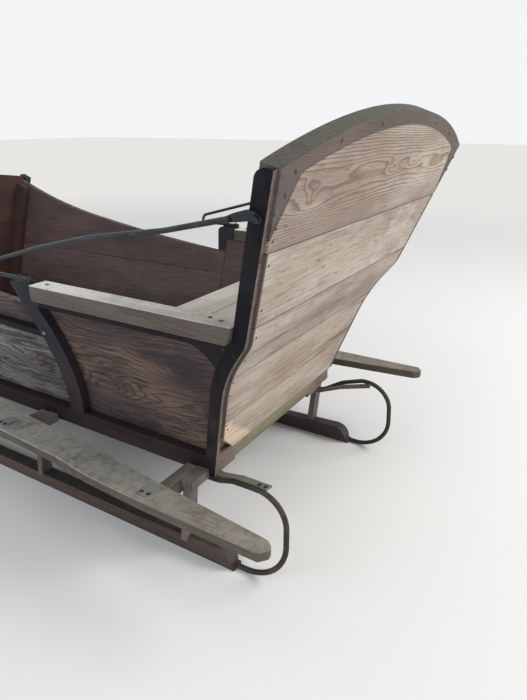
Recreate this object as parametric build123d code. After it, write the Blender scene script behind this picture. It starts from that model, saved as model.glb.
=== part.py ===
from build123d import *
import math
import os

# Horse drawn sleigh for two, one horse, as farm wheelwrights make it: a flared box of boards on sills,
# three bolsters on legs, two wooden runners with iron shoes that curl up into a loop behind each runner,
# guard planks outside the runners, and a pair of shafts that turn on an iron bar between the runner noses.
# Millimetres, +Z up, the front towards -Y, the sleigh's left at +X.
# A station is a length measured forward from a plumb line at the top of the seat back.

# Driving dimensions of the whole
MIDDLE = 2173.98                  # station midway between the crest and the tips of the lowered shafts
HALF_GAUGE = 357.0                # centreline to the middle of a runner
BASE_HALF_WIDTH = 323.0           # outer face of the body's side at BASE_Z
BASE_Z = 266.0                    # foot of the back boards
FLARE = 0.311                     # how far a side leans out for each unit of height
SILL_Z = (208.0, 276.0)
BODY_FRONT = 1980.0               # station of the sills' front ends
ARM_Z = (650.0, 690.0)
SEAT_TOP = 540.0
SEAT_FRONT = 648.0
SEAT_BOARD = 20.0
FRAME = 24.0                      # depth of curved posts and rails outside the panels
PANEL = 18.0

flare_angle = math.atan(FLARE)
slant = math.cos(flare_angle)


def fore(station):
    return MIDDLE - station


def half_width(z, inset=0.0):
    """Half width of the body at height z, inset measured square to the side."""
    return BASE_HALF_WIDTH + FLARE * (z - BASE_Z) - inset / slant


def profile_plane(x):
    """Plane across X: first coordinate forward, second up, thickness towards the centreline."""
    return Plane(origin=(x, fore(0), 0), x_dir=(0, -1, 0), z_dir=(-1, 0, 0))


def side_slab(inset, depth):
    """Left side's leaning slab, from inset to inset + depth behind its outer face."""
    face = Plane(origin=(BASE_HALF_WIDTH, fore(0), BASE_Z), x_dir=(0, -1, 0),
                 z_dir=(-slant, 0, math.sin(flare_angle)))
    return extrude(face.offset(inset) * Rectangle(6000, 3000), depth)


def side_piece(shape, depth, inset=0.0):
    """A piece of the left side, from its outline in stations and heights."""
    return extrude(profile_plane(0) * shape, 800, both=True) & side_slab(inset, depth)


def outline(*edges):
    return make_face(Curve() + list(edges))


def polygon(points):
    return make_face(Polyline(*points, close=True))


def block(x_range, station_range, z_range):
    (x0, x1), (s0, s1), (z0, z1) = x_range, station_range, z_range
    return Pos((x0 + x1) / 2, fore((s0 + s1) / 2), (z0 + z1) / 2) * Box(
        abs(x1 - x0), abs(s1 - s0), abs(z1 - z0))


nodes = {}


def both_hands(name, shape):
    nodes[name + "_left"] = shape
    nodes[name + "_right"] = mirror(shape, about=Plane.YZ)


# Runners: a plank on edge, straight on the snow, deeper to a rounded heel behind and bent up in front
SHOE = 8.0
RUNNER_WIDTH = 38.0
RUNNER_HEIGHT = 34.0
HEEL = (292.0, 53.0)              # station and height where the heel is deepest
HEEL_START = 560.0
HEEL_REAR = 246.0
BEND_START = 1700.0
BEND_RADIUS = 600.0               # underside of the wood
BEND_ANGLE = 80.0
bend_z = SHOE + BEND_RADIUS


def on_bend(radius, angle):
    turn = math.radians(angle)
    return (BEND_START + radius * math.sin(turn), bend_z - radius * math.cos(turn))


def bend_arc(radius, first, last):
    return ThreePointArc(on_bend(radius, first), on_bend(radius, (first + last) / 2),
                         on_bend(radius, last))


runner_top = BEND_RADIUS - RUNNER_HEIGHT
top_z = SHOE + RUNNER_HEIGHT
runner_outline = outline(
    Line((HEEL_REAR, SHOE), (BEND_START, SHOE)),
    bend_arc(BEND_RADIUS, 0, BEND_ANGLE),
    Line(on_bend(BEND_RADIUS, BEND_ANGLE), on_bend(runner_top + 12, BEND_ANGLE + 2)),
    Line(on_bend(runner_top + 12, BEND_ANGLE + 2), on_bend(runner_top, BEND_ANGLE)),
    bend_arc(runner_top, BEND_ANGLE, 0),
    Line((BEND_START, top_z), (HEEL_START, top_z)),
    Line((HEEL_START, top_z), HEEL),
    ThreePointArc(HEEL, (HEEL_REAR + 10, 37), (HEEL_REAR, SHOE)))
runner = extrude(profile_plane(HALF_GAUGE) * runner_outline, RUNNER_WIDTH / 2, both=True)

# The nose bar runs through both noses and carries the shafts
BAR_RADIUS = 11.0
bar_station, bar_z = on_bend(BEND_RADIUS - RUNNER_HEIGHT / 2, 62)
bar_axis = Plane(origin=(0, fore(bar_station), bar_z), x_dir=(0, -1, 0), z_dir=(1, 0, 0))
nose_bar = extrude(bar_axis * Circle(BAR_RADIUS), HALF_GAUGE + 38, both=True)
for side in (-1, 1):
    nut = extrude(bar_axis.offset(side * (HALF_GAUGE + RUNNER_WIDTH / 2)) * RegularPolygon(19, 6), side * 12)
    nose_bar += nut
nodes["nose_bar"] = nose_bar
both_hands("runner", runner - extrude(bar_axis * Circle(BAR_RADIUS), 500, both=True))

# Iron shoe under each runner and up round its nose
SHOE_WIDTH = 34.0
SHOE_REAR = 236.0
shoe_outline = outline(
    Line((SHOE_REAR, 0), (BEND_START, 0)),
    bend_arc(BEND_RADIUS + SHOE, 0, BEND_ANGLE),
    Line(on_bend(BEND_RADIUS + SHOE, BEND_ANGLE), on_bend(BEND_RADIUS, BEND_ANGLE)),
    bend_arc(BEND_RADIUS, BEND_ANGLE, 0),
    Line((BEND_START, SHOE), (SHOE_REAR, SHOE)),
    Line((SHOE_REAR, SHOE), (SHOE_REAR, 0)))
both_hands("shoe", extrude(profile_plane(HALF_GAUGE) * shoe_outline, SHOE_WIDTH / 2, both=True))

# Bolsters: bars across the sleigh, housed for the sills, out to the guard planks. Behind each end stands
# a leg that leans forward to the runner, with a cheek at its head against the bolster
BOLSTER_Z = (194.0, 232.0)
BOLSTER_LENGTH = 33.0
# Columns: name, station of the rear face, half length
BOLSTERS = (("rear", 380.0, 500.0), ("middle", 944.0, 465.0), ("front", 1460.0, 410.0))
SILL_THICK = 40.0
LEG_X = (342.0, 378.0)
LEG_HEAD = (-19.0, 0.0)           # the leg under its cheek, measured from the bolster's rear face
LEG_FOOT = (-1.0, 20.0)
CHEEK_X = (316.0, 386.0)
CHEEK_LENGTH = 35.0
CHEEK_BOTTOM = 208.0
legs = []
for place, station, reach in BOLSTERS:
    along = (station, station + BOLSTER_LENGTH)
    beam = block((-reach, reach), along, BOLSTER_Z)
    for hand in (-1, 1):
        beam -= block((hand * 262, hand * 320), along, (SILL_Z[0], BOLSTER_Z[1]))
        beam -= block((hand * (reach - 70), hand * reach), along, (BOLSTER_Z[0], BOLSTER_Z[0] + 12))
    nodes["bolster_" + place] = beam
    leg_outline = polygon([(station + LEG_FOOT[0], top_z - 10), (station + LEG_HEAD[0], CHEEK_BOTTOM),
                           (station + LEG_HEAD[1], CHEEK_BOTTOM), (station + LEG_FOOT[1], top_z - 10)])
    leg = extrude(profile_plane(LEG_X[1]) * leg_outline, LEG_X[1] - LEG_X[0]) - nodes["runner_left"] - beam
    leg += block(CHEEK_X, (station - CHEEK_LENGTH, station), (CHEEK_BOTTOM, BOLSTER_Z[1]))
    legs += [leg, mirror(leg, about=Plane.YZ)]
nodes["legs"] = Compound(legs)

# Rear loop: the shoe drawn out to a round bar that rises behind the runner, arches over, comes down
# and inward, and ends under the foot of the rear post against the rear bolster
LOOP_BAR = 7.0
LOOP_TOP = 248.5                  # centre of the bar at its highest
LOOP_END_X = 306.0
loop_end_z = SILL_Z[0] - LOOP_BAR - 0.3
# Columns: distance from the centreline, station, height
LOOP_POINTS = ((LOOP_END_X, 380.0, loop_end_z), (LOOP_END_X, 326.0, loop_end_z), (329.0, 262.0, 234.0),
               (345.0, 200.0, LOOP_TOP), (345.0, 104.0, LOOP_TOP), (HALF_GAUGE, 97.0, LOOP_BAR),
               (HALF_GAUGE, SHOE_REAR, LOOP_BAR))
loop_path = FilletPolyline(*[Vector(x, fore(s), z) for x, s, z in LOOP_POINTS], radius=[60, 80, 40, 84, 112])
loop_start = Plane(origin=loop_path @ 0, z_dir=loop_path % 0)
both_hands("rear_loop", sweep(loop_start * Circle(LOOP_BAR), path=loop_path))

# A flat strap inside each loop, bolted under the toe of the rear post and up to the crown of the loop
STRAP_WIDTH = 22.0
STRAP = 6.0
# Columns: station, height of the top
STRAP_LINE = ((368, 208), (334, 208), (262, 232), (166, 250))
strap_outline = polygon(list(STRAP_LINE) + [(s, z - STRAP) for s, z in reversed(STRAP_LINE)])
strap_turn = 13.0                 # degrees inward, seen from above
strap = extrude(profile_plane(0) * strap_outline, STRAP_WIDTH)
strap = Pos(336.0, fore(166), 0) * Rot(0, 0, -strap_turn) * Pos(0, -fore(166), 0) * strap
nodes["loop_straps"] = Compound([strap, mirror(strap, about=Plane.YZ)])

# Guard planks: they start inside the runner noses, spread to the rear and rest on the bolster ends.
# The rear end is worn round
PLANK_THICK = 26.0
plank_z = BOLSTER_Z[1]
PLANK_FRONT = 1570.0
# Columns: station, distance from the centreline
PLANK_OUTLINE = ((112, 482), (371, 453), (746, 409), (PLANK_FRONT, 346), (PLANK_FRONT, 424), (942, 489),
                 (696, 503), (564, 521), (392, 530), (68, 533), (52, 514), (54, 500), (70, 487))
plank_plane = Plane(origin=(0, fore(0), plank_z), x_dir=(0, -1, 0), z_dir=(0, 0, -1))
guard_plank = extrude(plank_plane * polygon(PLANK_OUTLINE), -PLANK_THICK)
both_hands("guard_plank", chamfer(guard_plank.edges(), 2.5))
PLATE = (42.0, 38.0, 4.0)
plates = []
for place, station, reach in BOLSTERS:
    for hand in (-1, 1):
        plate = Box(*PLATE)
        plate = fillet(plate.edges().filter_by(Axis.Z).group_by(Axis.X)[-1 if hand > 0 else 0], 12)
        plates.append(Pos(hand * (reach - 9), fore(station + 8), plank_z + PLANK_THICK + PLATE[2] / 2) * plate)
nodes["plank_plates"] = Compound(plates)

# The back in profile: the rear line of the posts, straight, a step forward at the arms, straight to the foot.
# Depths are measured forward from this line, square to it
BACK_LINE = [(-10.2, 1090.0), (149.7, 646.0), (224.4, 548.7), (336.9, 208.0)]
BACK_CURVES = [100.0, 450.0]
HEAD_Z = 983.0                    # top of the posts
BACK_SLOPE = (BACK_LINE[1][0] - BACK_LINE[0][0]) / (BACK_LINE[0][1] - BACK_LINE[1][1])
HEAD_STATION = BACK_LINE[0][0] + BACK_SLOPE * (BACK_LINE[0][1] - HEAD_Z)


def back_offset(depth):
    """Points of the back line moved forward, square to itself, by depth."""
    normals = []
    for (s0, z0), (s1, z1) in zip(BACK_LINE[:-1], BACK_LINE[1:]):
        run = math.hypot(s1 - s0, z1 - z0)
        normals.append(((z0 - z1) / run, (s1 - s0) / run))
    points = []
    for index, (s, z) in enumerate(BACK_LINE):
        near = normals[max(index - 1, 0)]
        far = normals[min(index, len(normals) - 1)]
        stretch = depth / (1 + near[0] * far[0] + near[1] * far[1])
        points.append((s + stretch * (near[0] + far[0]), z + stretch * (near[1] + far[1])))
    return points


def back_curve(depth):
    radius = [BACK_CURVES[0] - depth, BACK_CURVES[1] + depth]
    return FilletPolyline(*back_offset(depth), radius=radius)


def back_band(first, last):
    """Profile face between two depths."""
    rear, front = back_curve(first), back_curve(last)
    return make_face(Curve() + [rear, Line(rear @ 1, front @ 1), front, Line(front @ 0, rear @ 0)])


def back_layer(first, last):
    return extrude(profile_plane(0) * back_band(first, last), 800, both=True)


def body_wedge(inset=0.0, z_range=(150.0, 1150.0)):
    """Everything between the two leaning sides."""
    low, high = z_range
    shape = polygon([(-half_width(low, inset), low), (half_width(low, inset), low),
                     (half_width(high, inset), high), (-half_width(high, inset), high)])
    return extrude(Plane(origin=(0, 0, 0), x_dir=(1, 0, 0), z_dir=(0, -1, 0)) * shape, 3000, both=True)


# Rear posts, sawn to the line of the back and rebated behind for the ends of the back boards,
# with the front corner of the head rounded and a broad toe, flush behind below the boards
POST_DEPTH = 30.5
POST_WIDTH = 45.0
LIP = 12.0                        # what the rebate leaves outside the boards
REBATE = 12.0
BOARD_PROUD = 6.0                 # boards stand this far behind the posts
BOARDS_FOOT = 288.0
TOE_WIDTH = 88.0
TOE_Z = 372.0
post_profile = back_band(0, POST_DEPTH) - Pos(0, HEAD_Z + 4 + 200) * Rectangle(1000, 400)
head_corner = post_profile.vertices().sort_by(Axis.Y)[-2:].sort_by(Axis.X)[-1]
post_profile = fillet(head_corner, 22)
post = side_piece(post_profile, POST_WIDTH)
rebate = back_layer(-20, REBATE) & side_slab(LIP, TOE_WIDTH) & block((0, 700), (-200, 600), (BOARDS_FOOT, 1200))
spring_gap = back_layer(REBATE, REBATE + 0.4) & side_slab(LIP, TOE_WIDTH) & block(
    (0, 700), (0, 400), (480, 680))
toe = side_piece(back_band(0, POST_DEPTH), TOE_WIDTH - POST_WIDTH + 1, POST_WIDTH - 1)
toe = toe & block((0, 700), (200, 420), (150, TOE_Z))
post = post + toe - rebate - spring_gap

# Crest: an arched board between the heads of the posts, its face flush with the boards,
# with feet that taper down over the rebates of the posts
CREST_Z = 1074.5
CREST_WIDTH = 26.0                # at the crown, up and down
INNER_END = (466.0, 980.0)        # where the underside of the arch turns down into a foot
FOOT_Z = 900.0
back_lean = math.atan(BACK_SLOPE)
lean_cos = math.cos(back_lean)
crest_plane = Plane(origin=(0, fore(HEAD_STATION), HEAD_Z), x_dir=(1, 0, 0),
                    z_dir=(0, -lean_cos, math.sin(back_lean)))


def up_crest(z):
    return (z - HEAD_Z) / lean_cos


shoulder = half_width(HEAD_Z)
ankle = half_width(FOOT_Z)
inner_x, inner_v = INNER_END[0], up_crest(INNER_END[1])
foot_x, foot_v = ankle - LIP - 5, up_crest(FOOT_Z)
over_edge = ThreePointArc((shoulder, 0), (0, up_crest(CREST_Z)), (-shoulder, 0))
under_edge = ThreePointArc((-inner_x, inner_v), (0, up_crest(CREST_Z - CREST_WIDTH)), (inner_x, inner_v))
crest_outline = outline(
    over_edge,
    Line((-shoulder, 0), (-ankle, foot_v)),
    Line((-ankle, foot_v), (-foot_x, foot_v)),
    ThreePointArc((-foot_x, foot_v), (7 - (foot_x + inner_x) / 2, (foot_v + inner_v) / 2 + 6), (-inner_x, inner_v)),
    under_edge,
    ThreePointArc((inner_x, inner_v), ((foot_x + inner_x) / 2 - 7, (foot_v + inner_v) / 2 + 6), (foot_x, foot_v)),
    Line((foot_x, foot_v), (ankle, foot_v)),
    Line((ankle, foot_v), (shoulder, 0)))
above_crest = extrude(crest_plane * (Pos(0, 250) * Rectangle(1400, 500)), 80, both=True)
above_crest -= extrude(crest_plane * outline(over_edge, Line((-shoulder, 0), (shoulder, 0))), 80, both=True)
post = post - above_crest
both_hands("rear_post", post)
crest = extrude(crest_plane.offset(-BOARD_PROUD) * crest_outline, BOARD_PROUD + POST_DEPTH) & body_wedge(LIP)
crest = crest - nodes["rear_post_left"] - nodes["rear_post_right"]
nodes["crest"] = crest
crest_cut = extrude(crest_plane * crest_outline, 60, both=True)

# Back boards, let into the rebates. Seams from the top down
BACK_SEAMS = (1100.0, 847.0, 690.0, 546.0, 404.0, BOARDS_FOOT)
SEAM_GAP = 2.0
back_skin = back_layer(-BOARD_PROUD, PANEL - BOARD_PROUD) & body_wedge(LIP)
for number, (high, low) in enumerate(zip(BACK_SEAMS[:-1], BACK_SEAMS[1:]), 1):
    layer = block((-900, 900), (-100, 700), (low + SEAM_GAP / 2, high - SEAM_GAP / 2))
    nodes["back_board_" + str(number)] = back_skin & layer
nodes["back_board_1"] = nodes["back_board_1"] - crest_cut - above_crest

# The lowest board has its left corner sawn off across
SAWN_EDGE_Z = 350.0
SAWN_FOOT_X = 267.0
sawn_edge_x = half_width(SAWN_EDGE_Z, LIP) + 1
sawn = extrude(Plane(origin=(0, 0, 0), x_dir=(1, 0, 0), z_dir=(0, -1, 0)) * polygon([
    (sawn_edge_x, SAWN_EDGE_Z), (SAWN_FOOT_X, BOARDS_FOOT), (SAWN_FOOT_X, 200), (500, 200),
    (500, SAWN_EDGE_Z)]), 3000, both=True)
nodes["back_board_5"] = nodes["back_board_5"] - sawn

# Sills, cross members and floor
sill = side_piece(polygon([(330, SILL_Z[0]), (BODY_FRONT, SILL_Z[0]),
                           (BODY_FRONT, SILL_Z[1]), (330, SILL_Z[1])]), SILL_THICK)
sill -= back_layer(-60, POST_DEPTH)
both_hands("sill", sill)
RAIL_Z = (224.0, 284.5)
rear_rail = back_layer(0, 38) & block((-900, 900), (0, 700), RAIL_Z)
nodes["rear_rail"] = rear_rail & body_wedge(TOE_WIDTH)
FLOOR_TOP = 252.0
FLOOR_REAR = 384.0
floor_half = half_width(SILL_Z[0], SILL_THICK) - 4
floor_boards = []
BOARD_COUNT = 4
board_pitch = 2 * floor_half / BOARD_COUNT
for number in range(BOARD_COUNT):
    left = -floor_half + number * board_pitch
    floor_boards.append(block((left + 1, left + board_pitch - 1), (FLOOR_REAR, BODY_FRONT - 44),
                              (BOLSTER_Z[1], FLOOR_TOP)))
nodes["floor_boards"] = Compound(floor_boards)
front_rail = block((-900, 900), (BODY_FRONT - 44, BODY_FRONT), SILL_Z) & body_wedge(SILL_THICK)
nodes["front_rail"] = front_rail

# Curved posts between the seat and the footwell, hollow to the front, with a head in front of the arm
post_foot, post_head = SILL_Z[1], ARM_Z[1]
curved_post = side_piece(outline(
    Line((779, post_foot), (831, post_foot)),
    ThreePointArc((831, post_foot), (795, 440), (815, 606)),
    Line((815, 606), (828, 676)),
    ThreePointArc((828, 676), (825, 686), (816, post_head)),
    Line((816, post_head), (748, post_head)),
    Line((748, post_head), (748, 640)),
    Line((748, 640), (766, 626)),
    ThreePointArc((766, 626), (738, 450), (779, post_foot))), FRAME)
both_hands("curved_post", curved_post)

# Side panels of the seat and of the footwell, behind the frame
seat_panel = side_piece(polygon([(200, 278), (700, 278), (770, 278), (770, ARM_Z[0]), (100, ARM_Z[0])]), PANEL, FRAME)
seat_panel -= back_layer(-200, POST_DEPTH)
both_hands("seat_panel", seat_panel)
foot_panel = side_piece(polygon([(772, 278), (BODY_FRONT, 278), (BODY_FRONT, 534), (772, 534)]), PANEL, FRAME)
both_hands("foot_panel", foot_panel)
upper_board = side_piece(outline(
    Line((772, 536), (BODY_FRONT, 536)),
    Line((BODY_FRONT, 536), (BODY_FRONT, 812)),
    ThreePointArc((BODY_FRONT, 812), (1720, 735), (1400, 676)),
    ThreePointArc((1400, 676), (1080, 636), (772, 608)),
    Line((772, 608), (772, 536))), PANEL, FRAME)
both_hands("upper_board", upper_board)

# Rails: under the arm with a hollow bracket at the rear post, and over the seam of the footwell's boards
arm_rail = side_piece(outline(
    Line((120, ARM_Z[0]), (766, ARM_Z[0])),
    Line((766, ARM_Z[0]), (766, 626)),
    Line((766, 626), (292, 626)),
    ThreePointArc((292, 626), (257, 603), (236, 562)),
    Line((236, 562), (150, 562)),
    Line((150, 562), (120, ARM_Z[0]))), FRAME)
arm_rail -= back_layer(-200, POST_DEPTH)
arm_rail -= curved_post
both_hands("arm_rail", arm_rail)
seam_rail = side_piece(outline(
    Line((800, 530), (BODY_FRONT, 571)),
    Line((BODY_FRONT, 571), (BODY_FRONT, 591)),
    Line((BODY_FRONT, 591), (800, 550)),
    Line((800, 550), (800, 530))), FRAME)
seam_rail -= curved_post
both_hands("seam_rail", seam_rail)

# Arms: a board along each side of the seat, from the rear post to the head of the curved post
ARM_X = (410.0, 462.0)
arm_board = block(ARM_X, (169, 748), ARM_Z)
arm_board = chamfer(arm_board.edges(), 2) - back_layer(-200, POST_DEPTH)
both_hands("arm_board", arm_board)

# Seat: boards on a riser, between the side panels
seat_space = body_wedge(FRAME + PANEL + 1)
SEAT_BOARDS = 3
seat_rear = 264.0
seat_pitch = (SEAT_FRONT - seat_rear) / SEAT_BOARDS
seat_boards = []
for number in range(SEAT_BOARDS):
    start = seat_rear + number * seat_pitch
    board = block((-600, 600), (start + 1, start + seat_pitch - 1), (SEAT_TOP - SEAT_BOARD, SEAT_TOP))
    seat_boards.append(board & seat_space)
nodes["seat_boards"] = Compound(seat_boards)
riser = block((-600, 600), (SEAT_FRONT - 24, SEAT_FRONT - 6), (FLOOR_TOP, SEAT_TOP - SEAT_BOARD))
nodes["seat_riser"] = riser & seat_space
cleat = block((0, 600), (290, SEAT_FRONT - 25), (SEAT_TOP - SEAT_BOARD - 34, SEAT_TOP - SEAT_BOARD))
cleat = cleat & side_slab(FRAME + PANEL, 24)
nodes["seat_cleats"] = Compound([cleat, mirror(cleat, about=Plane.YZ)])

# Front: boards across between the sides, arched like the back, with battens in the corners
FRONT_BOARD = (1936.0, 1956.0)
FRONT_SEAMS = ((254.0, 436.0), (438.0, 620.0), (622.0, 870.0))
front_arch = extrude(Plane(origin=(0, 0, 0), x_dir=(1, 0, 0), z_dir=(0, -1, 0)) * outline(
    ThreePointArc((600, 792), (0, 850), (-600, 792)), Line((-600, 792), (-600, 200)),
    Line((-600, 200), (600, 200)), Line((600, 200), (600, 792))), 3000, both=True)
inner_wedge = body_wedge(FRAME + PANEL)
front_boards = []
for low, high in FRONT_SEAMS:
    front_boards.append(block((-700, 700), FRONT_BOARD, (low, high)) & inner_wedge & front_arch)
front_boards[0] = front_boards[0] - nodes["front_rail"]
nodes["front_boards"] = Compound(front_boards)
batten = side_piece(polygon([(1880, 278), (FRONT_BOARD[0], 278), (FRONT_BOARD[0], 790), (1880, 772)]),
                    26, FRAME + PANEL)
nodes["front_battens"] = Compound([batten, mirror(batten, about=Plane.YZ)])
front_post = side_piece(polygon([(BODY_FRONT - 46, SILL_Z[1]), (BODY_FRONT, SILL_Z[1]), (BODY_FRONT, 822),
                                 (BODY_FRONT - 46, 808)]), FRAME)
both_hands("front_post", front_post)
nodes["seam_rail_left"] = nodes["seam_rail_left"] - front_post
nodes["seam_rail_right"] = mirror(nodes["seam_rail_left"], about=Plane.YZ)

# Arm rails: round iron, its rear end beaten flat to an eye on the post's side, laid down over the arm
# and turned back on the curved post's head
ROD = 5.2
EYE_POINT = (69.0, 912.0)         # station and height of the bolt on the rear post
EYE_RADIUS = 9.5
EYE_THICK = 6.0


def side_point(station, z, inset):
    return Vector(half_width(z, inset), fore(station), z)


rail_points = [side_point(*p) for p in (
    (118, 906, -5), (270, 871, -5), (470, 838, -5), (650, 795, -3),
    (915, 722, 6), (915, 698, 10), (752, 698, 10))]
rail_path = FilletPolyline(*rail_points, radius=[300, 400, 300, 11.5, 11.5])
rail_start = Plane(origin=rail_path @ 0, z_dir=rail_path % 0)
rail = sweep(rail_start * Circle(ROD), path=rail_path)
eye_s, eye_z = EYE_POINT
flat = polygon([(eye_s - 2, eye_z + 9), (84, 923.5), (110, 916), (128, 908.5), (127, 898.5), (106, 901),
                (84, 904.5), (eye_s - 2, eye_z - 9)])
eye_plane = Plane(origin=side_point(eye_s, eye_z, 0), z_dir=(slant, 0, -math.sin(flare_angle)))
eye = side_piece(flat, EYE_THICK, -EYE_THICK - 0.0) + extrude(eye_plane * Circle(EYE_RADIUS), EYE_THICK)
eye += extrude(eye_plane.offset(EYE_THICK) * RegularPolygon(6.5, 6), 5)
head_half = half_width(ARM_Z[1])
foot = block((head_half - 19, head_half - 2), (754, 812), (ARM_Z[1], ARM_Z[1] + ROD))
both_hands("arm_rod", rail + eye + foot)

# Shafts, first drawn level from their pivot on the nose bar, then let down until the tips touch the ground
SHAFT_X = 285.0
SHAFT_LENGTH = 2150.0
TIP = 17.0
EYE_BORE = 11.1
shaft_drop = math.degrees(math.asin((bar_z - TIP) / SHAFT_LENGTH))
pivot = Pos(0, fore(bar_station), bar_z) * Rot(shaft_drop, 0, 0)


def across(x, ahead, up=0.0):
    return Plane(origin=(x, -ahead, up), x_dir=(1, 0, 0), z_dir=(0, -1, 0))


# Columns: distance ahead of the pivot, radius, distance from the centreline
SHAFT_SECTIONS = ((66, 27, 285), (700, 27, 292), (1300, 24, 292), (1800, 20, 280), (SHAFT_LENGTH, TIP, 268))
shaft = loft([across(x, ahead) * Circle(radius) for ahead, radius, x in SHAFT_SECTIONS])
shaft += Pos(268, -SHAFT_LENGTH, 0) * Sphere(TIP)
CROSS = 330.0
crossbar = Pos(0, -CROSS, 0) * Box(2 * 272, 56, 40)
shaft = shaft - crossbar
shaft_eye = extrude(Plane(origin=(SHAFT_X, 0, 0), x_dir=(0, -1, 0), z_dir=(1, 0, 0)) * Circle(22), 16, both=True)
shaft_eye += Pos(SHAFT_X, -38, 0) * Box(22, 50, 26)
shaft_eye += extrude(across(SHAFT_X, 60) * Circle(31), 6)
shaft_eye += extrude(across(SHAFT_X, 66) * (Circle(31) - Circle(28.4)), 84)
shaft_eye -= extrude(Plane(origin=(SHAFT_X, 0, 0), z_dir=(1, 0, 0)) * Circle(EYE_BORE), 40, both=True)

# Singletree: a tapered bar that swings on a pin through the crossbar, with an iron tongue at each end
PIN = 7.0
PIN_BORE = 7.1
SPACER_TOP = 39.7
TREE_Z = 62.0
level = Plane(origin=(0, -CROSS, 0), x_dir=(1, 0, 0), z_dir=(0, 0, 1))
pin = extrude(level.offset(-34) * Circle(PIN), 34 + 96)
pin_head = extrude(level.offset(85.0) * Circle(14), 11)
pin_nut = extrude(level.offset(-32) * RegularPolygon(13, 6), 12)
spacer = extrude(level.offset(20) * Circle(22), SPACER_TOP - 20)
tree_half = loft([Plane(origin=(x, -CROSS, TREE_Z), z_dir=(1, 0, 0)) * Circle(radius)
                  for x, radius in ((0, 22), (150, 20), (300, 15))])
tree = tree_half + mirror(tree_half, about=Plane.YZ)
tree -= extrude(level * Circle(PIN_BORE), 120)
TONGUE_HOLE = 11.0
tongue_plane = Plane(origin=(300, -CROSS, TREE_Z), x_dir=(1, 0, 0), z_dir=(0, 0, 1)).offset(-4)
tongue = extrude(tongue_plane * (Pos(22, 0) * Circle(20) + Pos(-20, 0) * Rectangle(80, 22)), 8)
tongue -= extrude(tongue_plane * (Pos(22, 0) * Circle(TONGUE_HOLE)), 8)
tree -= tongue + mirror(tongue, about=Plane.YZ)
nodes["shaft_left"] = pivot * shaft
nodes["shaft_right"] = pivot * mirror(shaft, about=Plane.YZ)
nodes["shaft_eyes"] = pivot * Compound([shaft_eye, mirror(shaft_eye, about=Plane.YZ)])
crossbar -= extrude(level.offset(-30) * Circle(PIN), 60)
nodes["shaft_crossbar"] = pivot * crossbar
nodes["singletree_pin"] = pivot * (pin + pin_head + pin_nut + spacer)
nodes["singletree"] = pivot * tree
nodes["singletree_tongues"] = pivot * Compound([tongue, mirror(tongue, about=Plane.YZ)])

os.makedirs("parts", exist_ok=True)
for name, shape in nodes.items():
    export_step(shape, "parts/" + name + ".step")

whole = Compound(list(nodes.values())).bounding_box()
print("box", whole.min, whole.max)
print("shaft drop", shaft_drop, "bar", fore(bar_station), bar_z)
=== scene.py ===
import math

import bpy
from mathutils import Matrix, Vector


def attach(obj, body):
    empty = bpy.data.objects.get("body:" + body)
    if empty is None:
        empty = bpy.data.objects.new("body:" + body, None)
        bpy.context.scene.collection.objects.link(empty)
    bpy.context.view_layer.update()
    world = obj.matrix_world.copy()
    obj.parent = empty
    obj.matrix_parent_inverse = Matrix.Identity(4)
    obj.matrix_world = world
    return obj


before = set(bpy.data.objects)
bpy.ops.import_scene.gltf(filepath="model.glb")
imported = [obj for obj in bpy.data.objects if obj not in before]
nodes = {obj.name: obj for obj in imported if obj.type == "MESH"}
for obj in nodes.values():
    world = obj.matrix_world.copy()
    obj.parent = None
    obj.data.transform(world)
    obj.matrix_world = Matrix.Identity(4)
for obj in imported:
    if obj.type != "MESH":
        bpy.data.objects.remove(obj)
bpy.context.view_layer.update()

scene = bpy.context.scene

# The studio: a pale floor that keeps the sleigh's shadow, a pale surround, a broad soft lamp behind the
# sleigh's back and a weaker, cooler one beside it. The camera stands at the left rear corner, chest high,
# and looks down along the body.
FLOOR_WIDTH, FLOOR_DROP = 60, 0.0006
SHADED_FLOOR_REACH, PLAIN_FLOOR_START = 2.6, 7.0
bpy.ops.object.select_all(action="DESELECT")
bpy.ops.mesh.primitive_plane_add(size=FLOOR_WIDTH, location=(0, 0, -FLOOR_DROP))
floor = bpy.context.object
floor.name = "studio_floor"
floor_finish = bpy.data.materials.new("studio_floor")
floor_finish.use_nodes = True
made, links = floor_finish.node_tree.nodes, floor_finish.node_tree.links
matt = made["Principled BSDF"]
matt.inputs["Base Color"].default_value = (0.78, 0.77, 0.75, 1)
matt.inputs["Roughness"].default_value = 0.95
matt.inputs["Specular IOR Level"].default_value = 0.2
where = made.new("ShaderNodeTexCoord")
away = made.new("ShaderNodeVectorMath")
away.operation = "LENGTH"
far_off = made.new("ShaderNodeMapRange")
far_off.interpolation_type = "SMOOTHSTEP"
far_off.inputs["From Min"].default_value = SHADED_FLOOR_REACH
far_off.inputs["From Max"].default_value = PLAIN_FLOOR_START
seen_floor = made.new("ShaderNodeLightPath")
only_seen = made.new("ShaderNodeMath")
only_seen.operation = "MULTIPLY"
pale = made.new("ShaderNodeEmission")
pale.inputs["Color"].default_value = (0.80, 0.79, 0.77, 1)
blend = made.new("ShaderNodeMixShader")
links.new(where.outputs["Object"], away.inputs[0])
links.new(away.outputs["Value"], far_off.inputs["Value"])
links.new(far_off.outputs[0], only_seen.inputs[0])
links.new(seen_floor.outputs["Is Camera Ray"], only_seen.inputs[1])
links.new(only_seen.outputs[0], blend.inputs[0])
links.new(matt.outputs[0], blend.inputs[1])
links.new(pale.outputs[0], blend.inputs[2])
links.new(blend.outputs[0], made["Material Output"].inputs["Surface"])
floor.data.materials.append(floor_finish)

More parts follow.
